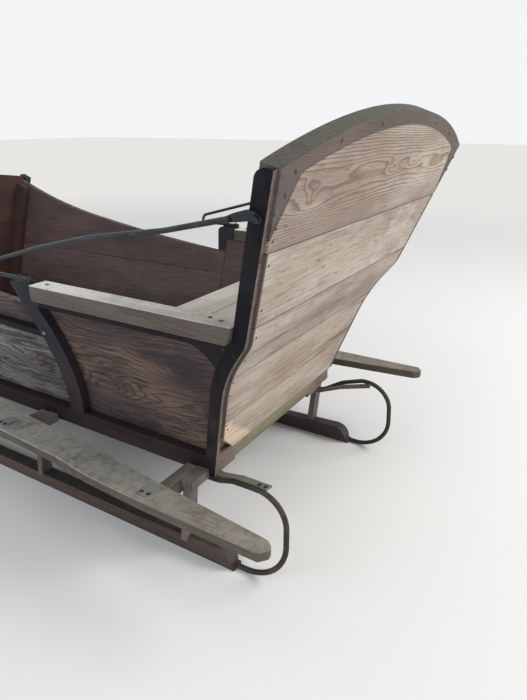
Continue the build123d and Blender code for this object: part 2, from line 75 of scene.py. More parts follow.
surround = bpy.data.worlds.new("surround")
surround.use_nodes = True
scene.world = surround
tree = surround.node_tree
lamp_light = tree.nodes["Background"]
lamp_light.inputs["Color"].default_value = (0.93, 0.96, 1.0, 1)
lamp_light.inputs["Strength"].default_value = 0.72
seen = tree.nodes.new("ShaderNodeBackground")
seen.inputs["Color"].default_value = (0.90, 0.91, 0.92, 1)
ray = tree.nodes.new("ShaderNodeLightPath")
either = tree.nodes.new("ShaderNodeMath")
either.operation = "MAXIMUM"
pick = tree.nodes.new("ShaderNodeMixShader")
tree.links.new(ray.outputs["Is Camera Ray"], either.inputs[0])
tree.links.new(ray.outputs["Is Glossy Ray"], either.inputs[1])
tree.links.new(either.outputs[0], pick.inputs[0])
tree.links.new(lamp_light.outputs[0], pick.inputs[1])
tree.links.new(seen.outputs[0], pick.inputs[2])
tree.links.new(pick.outputs[0], tree.nodes["World Output"].inputs["Surface"])

SOFT_LAMPS = (
    # name, place, what it shines at, width, watts, colour
    ("rear_light", (-2.2, 5.6, 3.4), (0, 1.6, 0.6), 2.6, 190, (1.0, 0.98, 0.95)),
    ("side_light", (4.2, 1.0, 2.6), (0.2, 1.0, 0.5), 2.4, 70, (0.86, 0.93, 1.0)))
for name, place, towards, width, watts, colour in SOFT_LAMPS:
    light = bpy.data.lights.new(name, "AREA")
    light.size = width
    light.energy = watts
    light.color = colour
    lamp = bpy.data.objects.new(name, light)
    scene.collection.objects.link(lamp)
    lamp.location = place
    lamp.rotation_euler = (Vector(towards) - Vector(place)).to_track_quat("-Z", "Y").to_euler()

CAMERA_PLACE, CAMERA_LOOK = (1.2813, 2.574, 1.05), (-0.7928, -0.4798, -0.3759)
LENS = 29.0
eye = bpy.data.cameras.new("camera")
eye.lens = LENS
camera = bpy.data.objects.new("camera", eye)
scene.collection.objects.link(camera)
camera.location = CAMERA_PLACE
camera.rotation_euler = Vector(CAMERA_LOOK).to_track_quat("-Z", "Y").to_euler()
scene.camera = camera
scene.view_settings.view_transform = "Standard"

# Runners, legs and bolsters: ash or oak planks on edge, bent up in front, with short posts tenoned into
# them and cross beams on top, all stained dark red-brown by old paint, mud and thaw water. The right
# runner is darker all over with painted shade, for the sleigh's shadow on it.


class Mark:
    """One number or colour that changes over a surface, so that grain and wear are written as sums."""

    def __init__(self, finish, socket):
        self.finish = finish
        self.socket = socket

    def maths(self, operation, first, second=0.0):
        return self.finish.make("ShaderNodeMath", {"operation": operation}, {0: first, 1: second})

    def __add__(self, other):
        return self.maths("ADD", self, other)

    __radd__ = __add__

    def __sub__(self, other):
        return self.maths("SUBTRACT", self, other)

    def __rsub__(self, other):
        return self.maths("SUBTRACT", other, self)

    def __mul__(self, other):
        return self.maths("MULTIPLY", self, other)

    __rmul__ = __mul__

    def __truediv__(self, other):
        return self.maths("DIVIDE", self, other)

    def __pow__(self, other):
        return self.maths("POWER", self, other)

    def __abs__(self):
        return self.maths("ABSOLUTE", self)


class Finish:
    """The finish of one piece: a node material that reads the piece's own place in the sleigh."""

    def __init__(self, name):
        self.material = bpy.data.materials.new(name)
        self.material.use_nodes = True
        self.tree = self.material.node_tree
        self.surface = self.tree.nodes["Principled BSDF"]
        self.place = self.make("ShaderNodeTexCoord", out="Object")

    def make(self, kind, settings=None, sockets=None, out=0):
        """Any node: its settings first, then the values or links of its sockets. Gives one output."""
        node = self.tree.nodes.new(kind)
        for key, value in (settings or {}).items():
            if key == "stops":
                ramp = node.color_ramp
                while len(ramp.elements) < len(value):
                    ramp.elements.new(0.5)
                for element, (position, shade) in zip(ramp.elements, value):
                    element.position = position
                    element.color = (shade, shade, shade, 1)
            else:
                setattr(node, key, value)
        for key, value in (sockets or {}).items():
            if isinstance(value, Mark):
                self.tree.links.new(value.socket, node.inputs[key])
            else:
                node.inputs[key].default_value = value
        return Mark(self, node.outputs[out])

    def stretch(self, vector, scale, location=(0, 0, 0)):
        return self.make("ShaderNodeMapping", None, {"Vector": vector, "Scale": scale, "Location": location})

    def speckle(self, vector, scale, detail=3.0, roughness=0.55, distortion=0.0):
        return self.make("ShaderNodeTexNoise", None, {
            "Vector": vector, "Scale": scale, "Detail": detail, "Roughness": roughness,
            "Distortion": distortion})

    def step(self, value, low, high, top=1.0):
        """0 below low, top above high, smooth between."""
        return self.make("ShaderNodeMapRange", {"interpolation_type": "SMOOTHSTEP"}, {
            "Value": value, "From Min": low, "From Max": high, "To Min": 0.0, "To Max": top})

    def tint(self, amount, first, second):
        """First colour, turned into the second by amount."""
        sockets = {0: amount}
        for key, colour in ((6, first), (7, second)):
            sockets[key] = colour if isinstance(colour, Mark) else (*colour, 1)
        return self.make("ShaderNodeMix", {"data_type": "RGBA"}, sockets, out=2)

    def parts(self, vector):
        """The three numbers of a vector."""
        node = self.tree.nodes.new("ShaderNodeSeparateXYZ")
        self.tree.links.new(vector.socket, node.inputs[0])
        return [Mark(self, socket) for socket in node.outputs]

    def facing(self):
        """How far the surface looks to the left, to the rear and up."""
        return self.parts(self.make("ShaderNodeNewGeometry", out="Normal"))

    def round_spot(self, along, across):
        """1 in the middle of a soft spot and nearly 0 at two radii, from the distances in radii."""
        return self.make("ShaderNodeMath", {"operation": "EXPONENT"}, {
            0: (along * along + across * across) * -1.0})

    def cover(self, colour, roughness, height, depth, strength, metallic=None):
        """Joins what the finish has worked out to its surface. Height gives relief of the given depth."""
        for name, value in (("Base Color", colour), ("Roughness", roughness), ("Metallic", metallic)):
            if isinstance(value, Mark):
                self.tree.links.new(value.socket, self.surface.inputs[name])
            elif value is not None:
                self.surface.inputs[name].default_value = value
        bump = self.make("ShaderNodeBump", None, {"Height": height, "Strength": strength, "Distance": depth})
        self.tree.links.new(bump.socket, self.surface.inputs["Normal"])
        return self.material


# For each way that the wood can run: the axis along it and the two across it, as numbers.
ORDER = {"X": (0, 1, 2), "Y": (1, 0, 2), "Z": (2, 0, 1)}


def grain(finish, along, centre, pith, ring, wave=0.02):
    """Sawn wood: year rings round a pith that runs beside the board, waved.
    Gives the dark edge of each ring, the fine fibre, and broad patches, each from 0 to 1."""
    place = finish.parts(finish.place)
    run, first, second = (place[k] - centre[k] for k in ORDER[along])
    board = finish.make("ShaderNodeCombineXYZ", None, {0: run, 1: first, 2: second})
    slow = finish.speckle(finish.stretch(board, (1.3, 7.0, 7.0)), 1.0, 2.0) - 0.5
    small = finish.speckle(finish.stretch(board, (7.0, 40.0, 40.0)), 1.0, 2.0) - 0.5
    side = first - pith[0] + slow * wave
    depth = second - pith[1]
    distance = (side * side + depth * depth) ** 0.5 + slow * wave + small * (wave * 0.16)
    turn = finish.make("ShaderNodeMath", {"operation": "FRACT"}, {0: distance / ring})
    late = finish.make("ShaderNodeValToRGB", {"stops": (
        (0.0, 0.25), (0.12, 0.0), (0.5, 0.08), (0.86, 1.0), (1.0, 0.25))}, {0: turn})
    fibre = finish.speckle(finish.stretch(board, (9.0, 260.0, 260.0)), 1.0, 3.0, 0.6)
    patch = finish.speckle(finish.stretch(board, (2.2, 9.0, 9.0)), 1.0, 4.0, 0.6)
    return late, fibre, patch


def old_wood(name, along, centre, pith, ring, pale, dark, late, late_amount=0.7, dirt=None, dirt_amount=0.5,
             rough=0.85, edge=None, bleach=None, mottle=0.0, painted_light_forward=None):
    """Bare or stained wood that has stood outside. Late is the colour of the rings' dark edges, edge that of
    faces that stand upright, bleach that of sun-washed streaks, dirt that of smudges, and mottle the amount
    of small dark spots. Against the tops, the colour of upright faces is partly the wood's own and partly
    painted shade: on the guard planks and arm boards the sides are darkened, on the runners the tops. The
    last setting is painted light that turns the tops paler going forward: where it starts and ends, its
    amount and its colour."""
    finish = Finish(name)
    rings, fibre, patch = grain(finish, along, centre, pith, ring)
    colour = finish.tint(finish.step(patch, 0.32, 0.70), pale, dark)
    if bleach:
        streaks = finish.stretch(finish.place, [2.5 if k == along else 26.0 for k in "XYZ"])
        washed = finish.speckle(streaks, 1.0, 4.0)
        colour = finish.tint(finish.step(washed, 0.50, 0.68, 0.7), colour, bleach)
    colour = finish.tint(finish.step(fibre, 0.48, 0.72, 0.5), colour, late)
    colour = finish.tint(rings * late_amount * finish.step(patch, 0.1, 0.7), colour, late)
    if painted_light_forward:
        start, end, amount, painted_light_colour = painted_light_forward
        painted_light_amount = finish.step(finish.parts(finish.place)[1] * -1.0, -start, -end, amount)
        colour = finish.tint(painted_light_amount, colour, painted_light_colour)
    if edge:
        sawn = finish.step(fibre * 0.6 + patch * 0.4, 0.42, 0.60)
        upright = 1.0 - finish.step(finish.facing()[2], 0.35, 0.80)
        colour = finish.tint(upright * 0.95, colour, finish.tint(sawn, edge, [part * 0.5 for part in edge]))
    if dirt:
        smudge = finish.speckle(finish.place, 6.5, 6.0, 0.68)
        colour = finish.tint(finish.step(smudge, 0.50, 0.66, dirt_amount), colour, dirt)
    if mottle:
        spots = finish.speckle(finish.place, 42.0, 6.0, 0.75)
        colour = finish.tint(finish.step(spots, 0.46, 0.62, mottle), colour, late)
    speck = finish.speckle(finish.place, 95.0, 2.0, 0.5)
    colour = finish.tint(finish.step(speck, 0.66, 0.72, 0.55), colour, late)
    return finish.cover(colour, rough - rings * 0.08, rings * 0.45 - fibre * 0.6, 0.0016, 0.6)


def finish_of(material, *names):
    """Gives pieces one material all over."""
    for name in names:
        nodes[name].data.materials.clear()
        nodes[name].data.materials.append(material)
        for face in nodes[name].data.polygons:
            face.material_index = 0


RUNNER_LATE = (0.013, 0.010, 0.011)
MUD = (0.078, 0.062, 0.048)
# The runners' tops take the darkest colours, pale and dark here: painted shade under the guard planks.
finish_of(old_wood(
    "runner_wood", "Y", centre=(0, 0, 0.03), pith=(0.0, -0.05), ring=0.011, pale=(0.030, 0.025, 0.025),
    dark=(0.016, 0.013, 0.014), late=RUNNER_LATE, dirt=MUD, dirt_amount=0.32, rough=0.72,
    edge=(0.078, 0.045, 0.035)), "runner_left")
# Painted shade: the right runner's colours are all darker, for the sleigh's shadow on it.
finish_of(old_wood(
    "shaded_runner_wood", "Y", centre=(0, 0, 0.03), pith=(0.0, -0.05), ring=0.011,
    pale=(0.024, 0.020, 0.020), dark=(0.014, 0.011, 0.012), late=RUNNER_LATE, dirt=MUD, dirt_amount=0.20,
    rough=0.72, edge=(0.040, 0.027, 0.024)), "runner_right")
finish_of(old_wood(
    "leg_wood", "Z", centre=(0, 0, 0.1), pith=(0.05, -0.04), ring=0.009, pale=(0.165, 0.135, 0.120),
    dark=(0.095, 0.076, 0.070), late=(0.032, 0.025, 0.026), dirt=(0.15, 0.135, 0.115), dirt_amount=0.45,
    rough=0.78), "legs")
finish_of(old_wood(
    "bolster_wood", "X", centre=(0, 0, 0.2), pith=(0.05, -0.08), ring=0.008, pale=(0.235, 0.205, 0.165),
    dark=(0.150, 0.126, 0.103), late=(0.050, 0.040, 0.034), dirt=(0.06, 0.05, 0.04),
    edge=(0.105, 0.084, 0.072)), "bolster_rear", "bolster_middle", "bolster_front")

# Shoes, loops and straps: flat iron nailed under the runners, drawn out behind to a round bar that is
# bent up into a loop, and held on the rear bolster by a flat strap. Forged, dark and rusty.


def forged_iron(name, dark, rust, rub_and_sheen, rust_amount=0.5, rub_and_sheen_amount=0.3, rough=0.55, rub_and_sheen_grain=(30, 30, 30),
                far_side=None):
    """Forged iron: dark scale, rusty patches, and places rubbed bright, which on the hand rails carry a
    bluish painted sheen as well. Far_side is its colour on the sleigh's right, where it differs."""
    finish = Finish(name)
    pits = finish.speckle(finish.place, 120.0, 4.0, 0.7)
    cloud = finish.speckle(finish.place, 14.0, 5.0, 0.65)
    rub_and_sheen_noise = finish.speckle(finish.stretch(finish.place, rub_and_sheen_grain), 1.0, 3.0, 0.6)
    rusty = finish.step(cloud * 0.6 + pits * 0.4, 0.46, 0.60, rust_amount)
    bright = finish.step(rub_and_sheen_noise, 0.50, 0.75, rub_and_sheen_amount)
    colour = finish.tint(bright, finish.tint(rusty, dark, rust), rub_and_sheen)
    if far_side:
        right = finish.step(finish.parts(finish.place)[0] * -1.0, 0.0, 0.02, 0.9)
        colour = finish.tint(right, colour, far_side)
    metal = 0.35 - rusty * 0.3 + bright * 0.5
    return finish.cover(colour, rough + rusty * 0.3 - bright * 0.15, pits + cloud, 0.0006, 0.45, metal)


finish_of(forged_iron("shoe_iron", dark=(0.040, 0.034, 0.032), rust=(0.095, 0.055, 0.038),
                      rub_and_sheen=(0.20, 0.18, 0.17)), "shoe_left", "shoe_right")
finish_of(forged_iron("loop_iron", dark=(0.026, 0.023, 0.018), rust=(0.072, 0.050, 0.031),
                      rub_and_sheen=(0.10, 0.09, 0.07), rust_amount=0.75),
          "rear_loop_left", "rear_loop_right", "nose_bar")
finish_of(forged_iron("strap_iron", dark=(0.185, 0.198, 0.155), rust=(0.150, 0.110, 0.078),
                      rub_and_sheen=(0.24, 0.27, 0.23), rust_amount=0.6, far_side=(0.075, 0.056, 0.046)), "loop_straps")


def forged_head(name, sides, width, thick, steps):
    """One nail head, bolt head or nut with its washer: a flat disc whose top is drawn in and raised by steps
    of (inward, up), in metres. It lies flat at the origin."""
    bpy.ops.object.select_all(action="DESELECT")
    bpy.ops.mesh.primitive_cylinder_add(vertices=sides, radius=width / 2, depth=thick,
                                        location=(0, 0, thick / 2))
    head = bpy.context.object
    head.name = name
    bpy.ops.object.transform_apply(location=True, rotation=True, scale=True)
    bpy.ops.object.mode_set(mode="EDIT")
    bpy.ops.mesh.select_mode(type="FACE")
    bpy.ops.mesh.select_all(action="DESELECT")
    bpy.ops.object.mode_set(mode="OBJECT")
    for face in head.data.polygons:
        face.select = face.normal.z > 0.9
    bpy.ops.object.mode_set(mode="EDIT")
    for inward, rise in steps:
        bpy.ops.mesh.inset(thickness=inward, depth=rise)
    bpy.ops.object.mode_set(mode="OBJECT")
    bpy.ops.object.shade_smooth_by_angle(angle=math.radians(38))
    return head


SUNK = 0.0004


def drive_in(head, name, iron, spots):
    """Copies of one head, each set flat on the face it is driven into and sunk a little, kept together as
    one piece. A spot that met no face gets none."""
    copies = []
    for place, out in filter(None, spots):
        copy = head.copy()
        copy.data = head.data.copy()
        scene.collection.objects.link(copy)
        turn = Vector(out).to_track_quat("Z", "Y").to_matrix().to_4x4()
        copy.data.transform(Matrix.Translation(Vector(place) - Vector(out) * SUNK) @ turn)
        copies.append(copy)
    bpy.ops.object.select_all(action="DESELECT")
    for copy in copies:
        copy.select_set(True)
    bpy.context.view_layer.objects.active = copies[0]
    bpy.ops.object.join()
    group = bpy.context.object
    group.name = name
    group.data.materials.clear()
    group.data.materials.append(iron)
    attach(group, "sleigh")


def face_met(names, start, towards):
    """The nearest face of the named pieces met on a straight way: its place and its outward direction."""
    met = []
    for name in names:
        hit, place, out, _ = nodes[name].ray_cast(Vector(start), Vector(towards))
        if hit:
            met.append(((place - Vector(start)).length, place, out))
    return min(met, key=lambda found: found[0])[1:] if met else None


HALF_LENGTH = 2.17398


def fore(station):
    """Place along the sleigh of a length measured forward from the top of the seat back."""
    return HALF_LENGTH - station


def both_sides(spots):
    """Each spot on the sleigh's left and its twin on the right."""
    return [(hand * x, y, z) for x, y, z in spots for hand in (1, -1)]


DOWN, FORWARD, REARWARD = (0, 0, -1), (0, -1, 0), (0, 1, 0)
OVER_STRAPS = 0.30
STRAP_BOLTS = (
    # out from the middle, station
    (0.325, 0.172), (0.321, 0.192))
dark_head_iron = forged_iron("dark_head_iron", dark=(0.030, 0.026, 0.026), rust=(0.080, 0.050, 0.036),
                             rub_and_sheen=(0.10, 0.09, 0.08))
round_bolt = forged_head("round_bolt", sides=18, width=0.0105, thick=0.0010, steps=(
    (0.0014, 0.0), (0.0, 0.0018), (0.0012, 0.0008), (0.0014, 0.0004)))
drive_in(round_bolt, "strap_bolts", dark_head_iron, [
    face_met(["loop_straps"], place, DOWN)
    for place in both_sides([(x, fore(station), OVER_STRAPS) for x, station in STRAP_BOLTS])])

# Guard planks: thick bare softwood planks laid flat outside the runners, grey from the weather and
# rubbed by boots, with a pale iron plate and two bolts where each bolster end carries them.
# Painted shade darkens the planks' upright faces beyond their brown sawn wood, and painted light turns their
# tops paler towards the front.
finish_of(old_wood(
    "plank_wood", "Y", centre=(0, 0, 0.25), pith=(0.0, -0.30), ring=0.006, pale=(0.262, 0.236, 0.188),
    dark=(0.165, 0.146, 0.115), late=(0.078, 0.064, 0.050), late_amount=0.14, dirt=(0.118, 0.099, 0.073),
    dirt_amount=0.8, edge=(0.092, 0.073, 0.050), bleach=(0.335, 0.312, 0.260), mottle=0.36,
    painted_light_forward=(1.95, 1.55, 0.85, (0.330, 0.315, 0.280))), "guard_plank_left", "guard_plank_right")
finish_of(forged_iron("plate_iron", dark=(0.235, 0.270, 0.255), rust=(0.135, 0.092, 0.060),
                      rub_and_sheen=(0.34, 0.39, 0.38), rust_amount=0.40, rub_and_sheen_amount=0.5), "plank_plates")
BOLSTER_ENDS = (
    # station of the bolster, reach of its end out from the middle
    (0.380, 0.500), (0.944, 0.465), (1.460, 0.410))
PLATE_OUTWARD, PLATE_FORWARD, BOLT_FROM_MIDDLE, OVER_PLANKS = 0.003, 0.008, 0.010, 0.40
drive_in(round_bolt, "plate_bolts", dark_head_iron, [
    face_met(["plank_plates"], place, DOWN)
    for place in both_sides([(reach + PLATE_OUTWARD, fore(station + PLATE_FORWARD + apart), OVER_PLANKS)
                             for station, reach in BOLSTER_ENDS
                             for apart in (-BOLT_FROM_MIDDLE, BOLT_FROM_MIDDLE)])])

# Sills, floor and the cross rails: the body's underframe. The sills carry the old dark paint of the
# frame; the rail under the back boards has stayed wet and is green with moss.
DUST = (0.032, 0.031, 0.037)


def painted_wood(name, along, paint, worn, bare, chips, mud=None, rear=None):
    """Old dull paint over sawn wood, dusty, and chipped where a speckle is over chips. Mud is the heights
    between which it thins out, and its colour. Rear is the two colours of rear faces worn to the wood."""
    finish = Finish(name)
    finish.surface.inputs["Specular IOR Level"].default_value = 0.12
    rings, fibre, patch = grain(finish, along, (0, 0, 0), (0.08, -0.05), 0.009, wave=0.015)
    colour = finish.tint(finish.step(patch, 0.40, 0.66), paint, worn)
    haze = finish.speckle(finish.place, 9.0, 5.0, 0.65)
    colour = finish.tint(finish.step(haze, 0.50, 0.72, 0.22), colour, DUST)
    height = finish.parts(finish.place)[2]
    if mud:
        thick_to, thin_from, mud_colour = mud
        splashed = (1.0 - finish.step(height, thick_to, thin_from)) * finish.step(haze, 0.30, 0.62)
        colour = finish.tint(splashed * 0.8, colour, mud_colour)
    if rear:
        _, backward, upward = finish.facing()
        toe = finish.step(upward, 0.45, 0.80) * (1.0 - finish.step(height, 0.31, 0.34))
        shown = (finish.step(backward, 0.45, 0.80) + toe) * (finish.step(haze, 0.20, 0.60, 0.40) + 0.60)
        colour = finish.tint(shown, colour, finish.tint(finish.step(fibre, 0.40, 0.66), *rear))
    chip = finish.speckle(finish.stretch(finish.place, (38, 38, 38)), 1.0, 4.0, 0.7)
    off = finish.step(chip, chips, chips + 0.03)
    colour = finish.tint(off, colour, bare)
    return finish.cover(colour, off * 0.3 + 0.55 + haze * 0.15, rings * 0.25 - fibre * 0.35 - off * 0.5,
                        0.0012, 0.5)


FRAME_BARE = (0.066, 0.044, 0.036)
finish_of(painted_wood("sill_paint", "Y", (0.020, 0.014, 0.015), (0.036, 0.023, 0.022), FRAME_BARE, 0.66),
          "sill_left", "sill_right", "front_rail")
finish_of(old_wood(
    "floor_wood", "Y", centre=(0, 0, 0.24), pith=(0.0, -0.10), ring=0.010, pale=(0.15, 0.12, 0.09),
    dark=(0.09, 0.07, 0.055), late=(0.045, 0.035, 0.028), dirt=(0.06, 0.05, 0.04)), "floor_boards")
finish_of(old_wood(
    "moss_wood", "X", centre=(0, 1.85, 0.25), pith=(0.03, -0.05), ring=0.008, pale=(0.240, 0.218, 0.140),
    dark=(0.150, 0.138, 0.080), late=(0.080, 0.062, 0.040), dirt=(0.105, 0.112, 0.050), dirt_amount=0.6),
    "rear_rail")

# Posts and rails of the body's sides: planed hardwood, sawn to shape, housed together and painted a blue
# that has gone nearly black, redder near the foot where the mud stays on. The rear posts are worn to bare
# mauve wood on their rear faces and on top of their toes.
NAVY, NAVY_WORN = (0.006, 0.006, 0.009), (0.016, 0.013, 0.015)
RED_MUD = (0.046, 0.029, 0.027)
MAUVE, MAUVE_DARK = (0.225, 0.178, 0.152), (0.118, 0.090, 0.080)
finish_of(painted_wood("post_paint", "Z", NAVY, NAVY_WORN, FRAME_BARE, 0.67, mud=(0.28, 0.55, RED_MUD),
                       rear=(MAUVE, MAUVE_DARK)), "rear_post_left", "rear_post_right")
finish_of(painted_wood("front_paint", "Z", (0.018, 0.020, 0.027), (0.034, 0.030, 0.034), FRAME_BARE, 0.67,
                       mud=(0.28, 0.48, RED_MUD)),
          "curved_post_left", "curved_post_right", "front_post_left", "front_post_right")
finish_of(painted_wood("rail_paint", "Y", NAVY, NAVY_WORN, FRAME_BARE, 0.67),
          "arm_rail_left", "arm_rail_right", "seam_rail_left", "seam_rail_right")
pale_head_iron = forged_iron("pale_head_iron", dark=(0.26, 0.29, 0.31), rust=(0.12, 0.09, 0.07),
                             rub_and_sheen=(0.46, 0.50, 0.52), rust_amount=0.3, rub_and_sheen_amount=0.7)
SIDE_BOLTS = (
    # station, height
    (0.210, 0.633), (0.787, 0.545))
BESIDE_ALL = 0.9
drive_in(round_bolt, "side_bolts", pale_head_iron, [
    face_met(["rear_post_left", "rear_post_right", "curved_post_left", "curved_post_right"],
             (hand * BESIDE_ALL, fore(station), height), (-hand, 0, 0))
    for station, height in SIDE_BOLTS for hand in (1, -1)])

# Side panels: boards let in behind the posts, rough from the saw and bare, tan in some places, with
# purple-black streaks where the grain has lifted and arched rings low in the middle. Painted red inside.


def board_rings(finish, run, across, middle, half, count, bend, wave, knots):
    """Where the year rings of a flat-sawn board come out on its face: few and wavy along the middle, many
    and fine towards both edges, thrown round the knots. Gives the board's own plane, the ring lines, the
    fibre and the patches."""
    flat = finish.make("ShaderNodeCombineXYZ", None, {0: run, 1: across, 2: middle * 7.3})
    slow = finish.speckle(finish.stretch(flat, (2.2, 8.0, 1.0)), 1.0, 2.0) - 0.5
    small = finish.speckle(finish.stretch(flat, (14.0, 75.0, 1.0)), 1.0, 2.0) - 0.5
    up = (across - middle) / half
    side = finish.make("ShaderNodeMath", {"operation": "SIGN"}, {0: up})
    rings = side * abs(up) ** bend * count + slow * wave + small * (wave * 0.14)
    for knot_run, knot_across, long, tall, lift in knots:
        rings = rings + finish.round_spot((run - knot_run) / long, (across - knot_across) / tall) * lift
    turn = finish.make("ShaderNodeMath", {"operation": "FRACT"}, {0: rings + 40.0})
    late = finish.make("ShaderNodeValToRGB", {"stops": (
        (0.0, 0.0), (0.55, 0.06), (0.86, 1.0), (0.94, 0.85), (1.0, 0.0))}, {0: turn})
    fibre = finish.speckle(finish.stretch(flat, (12.0, 330.0, 1.0)), 1.0, 3.0, 0.6)
    patch = finish.speckle(finish.stretch(flat, (2.4, 7.0, 1.0)), 1.0, 4.0, 0.6)
    return flat, late, fibre, patch


STAIN, STREAK_BLACK = (0.020, 0.012, 0.016), (0.014, 0.010, 0.014)
RING_BLACK, FIBRE_BROWN = (0.018, 0.012, 0.015), (0.035, 0.024, 0.026)
INSIDE_RED, INSIDE_RED_DARK, INSIDE_LINE = (0.112, 0.064, 0.057), (0.062, 0.040, 0.040), (0.028, 0.019, 0.020)


def side_board(name, hand, middle, half, seed, tan, brown, black_amount, knots, stains):
    """A side board, bare outside and painted red inside. Hand is 1 on the sleigh's left and -1 on its right,
    and seed shifts the streaks, so that no two boards are alike."""
    finish = Finish(name)
    _, y, z = finish.parts(finish.place)
    flat, late, fibre, patch = board_rings(finish, y, z, middle, half, 12.0, 1.25, 11.0, knots)
    colour = finish.tint(finish.step(patch, 0.36, 0.62), tan, brown)
    colour = finish.tint(finish.step(fibre, 0.48, 0.70, 0.45), colour, FIBRE_BROWN)
    colour = finish.tint(late * finish.step(patch, 0.20, 0.44, 0.95), colour, RING_BLACK)
    streak = finish.speckle(finish.stretch(flat, (7.0, 62.0, 1.0), (seed, 0, 0)), 1.0, 5.0, 0.72, 0.5)
    cluster = finish.speckle(finish.stretch(flat, (3.4, 6.5, 1.0), (seed, 3.0, 0)), 1.0, 2.0)
    torn = finish.step(streak, 0.46, 0.56) * finish.step(cluster, 0.45, 0.56)
    colour = finish.tint(torn * black_amount, colour, STREAK_BLACK)
    for stain_y, stain_z, long, tall, amount in stains:
        near = finish.round_spot((y - stain_y) / long, (z - stain_z) / tall)
        streaky = finish.step(streak, 0.38, 0.52) * 0.60 + 0.40
        colour = finish.tint(near * streaky * amount, colour, STAIN)
    inner = finish.step(finish.facing()[0] * (-hand), 0.3, 0.6, 0.88)
    red = finish.tint(finish.step(patch, 0.36, 0.62), INSIDE_RED, INSIDE_RED_DARK)
    red = finish.tint(finish.step(fibre, 0.50, 0.70, 0.5), red, INSIDE_LINE)
    colour = finish.tint(inner, colour, red)
    return finish.cover(colour, 0.84 - late * 0.1, late * 0.4 - fibre * 0.4 - torn * 0.6, 0.0020, 0.7)


SIDE_BOARD_TABLE = (
    # piece, middle height, half height, seed, tan, brown, amount of black streaks,
    # knots as (place along, height, half length, half height, rings thrown),
    # dark stains as (place along, height, half length, half height, amount)
    ("seat_panel", 0.47, 0.19, 1.0, (0.156, 0.099, 0.071), (0.066, 0.041, 0.038), 0.45,
     ((1.53, 0.388, 0.13, 0.036, 6.0), (1.80, 0.50, 0.07, 0.030, 2.5)),
     ((1.817, 0.520, 0.100, 0.085, 1.0), (1.740, 0.550, 0.10, 0.024, 0.9), (1.575, 0.478, 0.06, 0.028, 0.8),
      (1.585, 0.295, 0.10, 0.026, 0.9), (1.66, 0.600, 0.40, 0.040, 0.40), (1.88, 0.40, 0.06, 0.12, 0.5))),
    ("foot_panel", 0.40, 0.13, 5.0, (0.225, 0.210, 0.195), (0.124, 0.110, 0.106), 0.70,
     ((1.22, 0.42, 0.10, 0.035, 3.0), (0.70, 0.36, 0.12, 0.040, 3.0)),
     ((1.290, 0.420, 0.05, 0.040, 0.8), (1.240, 0.490, 0.07, 0.022, 0.8))),
    ("upper_board", 0.66, 0.14, 9.0, (0.115, 0.082, 0.070), (0.060, 0.044, 0.042), 0.80,
     ((1.00, 0.62, 0.12, 0.040, 3.0),), ()))
for piece, middle, half, seed, *looks in SIDE_BOARD_TABLE:
    for side, hand, other_board in (("left", 1, 0.0), ("right", -1, 20.0)):
        finish_of(side_board(piece + "_wood_" + side, hand, middle, half, seed + other_board, *looks),
                  piece + "_" + side)

# Back boards: five wide softwood boards nailed across the posts, bare, pale and washed out. The top one
# has the strongest grain, thrown round its knots; the lower ones have brown streaks and nail holes, and
# the lowest has its left corner sawn off, with the fresh wood showing.
BACK_PALE, BACK_DARK, BACK_LATE = (0.462, 0.388, 0.320), (0.305, 0.240, 0.188), (0.135, 0.086, 0.066)
STREAK_BROWN, WASHED_WHITE, NICK_BROWN = (0.200, 0.130, 0.092), (0.560, 0.535, 0.490), (0.110, 0.074, 0.057)
# The black of the joint lines is painted shadow.
SEAM_BROWN, JOINT_SHADOW_BLACK, FRESH_WOOD = (0.210, 0.150, 0.112), (0.040, 0.028, 0.025), (0.680, 0.515, 0.375)
AMBER, HEART_BROWN = (0.225, 0.155, 0.095), (0.165, 0.108, 0.078)
# The joints, where a painted shadow runs along the board's edge: the posts stand out by SPLAY for each
# metre up, and the crest's lower edge is an arch between two feet that slope down and out. The painted
# shadow is wider on the far side, where the frame's shaded inner face shows.
SPLAY, HALF_AT_GROUND = 0.311, 0.2277
ARCH_CENTRE, ARCH_RADIUS = -0.5708, 1.6165
FOOT_SLOPE, FOOT_REACH = 0.33, 0.7865
JOINT_SHADOW_WIDTH, FAR_JOINT_SHADOW_WIDENING = 0.0065, 0.0130


def painted_joint_shadow(finish, node, x, z):
    """The painted shadow where a back board ends against the post, and for the top one also under the crest,
    which stand proud of it. It is wider on the far side, where the frame's shaded inner face shows."""
    out = abs(x)
    far_shadow_widening = finish.step(x * -1.0, 0.0, 0.02, FAR_JOINT_SHADOW_WIDENING)
    if node != "back_board_1":
        return finish.step(out - (z * SPLAY + HALF_AT_GROUND) + far_shadow_widening, -JOINT_SHADOW_WIDTH, -0.0020, 0.85)
    arch = (out * out + (z - ARCH_CENTRE) ** 2.0) ** 0.5
    return finish.make("ShaderNodeMath", {"operation": "MAXIMUM"}, {
        0: finish.step(arch, ARCH_RADIUS - 0.0047, ARCH_RADIUS, 0.85),
        1: finish.step(out + z * FOOT_SLOPE + far_shadow_widening, FOOT_REACH - 0.0043, FOOT_REACH, 0.85)})


def top_board_spots(finish, colour, x, z):
    """The amber stain and the dark hearts of the knots on the top board."""
    for colour_there, low, high, amount, spots in (
            (AMBER, 0.2, 2.2, 0.65, ((-0.325, 0.953, 0.05, 0.012),)),
            (HEART_BROWN, 0.3, 1.5, 0.45, ((0.405, 0.953, 0.022, 0.008), (0.396, 0.930, 0.007, 0.012)))):
        for spot_x, spot_z, wide, tall in spots:
            away = ((x - spot_x) / wide) ** 2.0 + ((z - spot_z) / tall) ** 2.0
            colour = finish.tint(amount - finish.step(away, low, high, amount), colour, colour_there)
    return colour


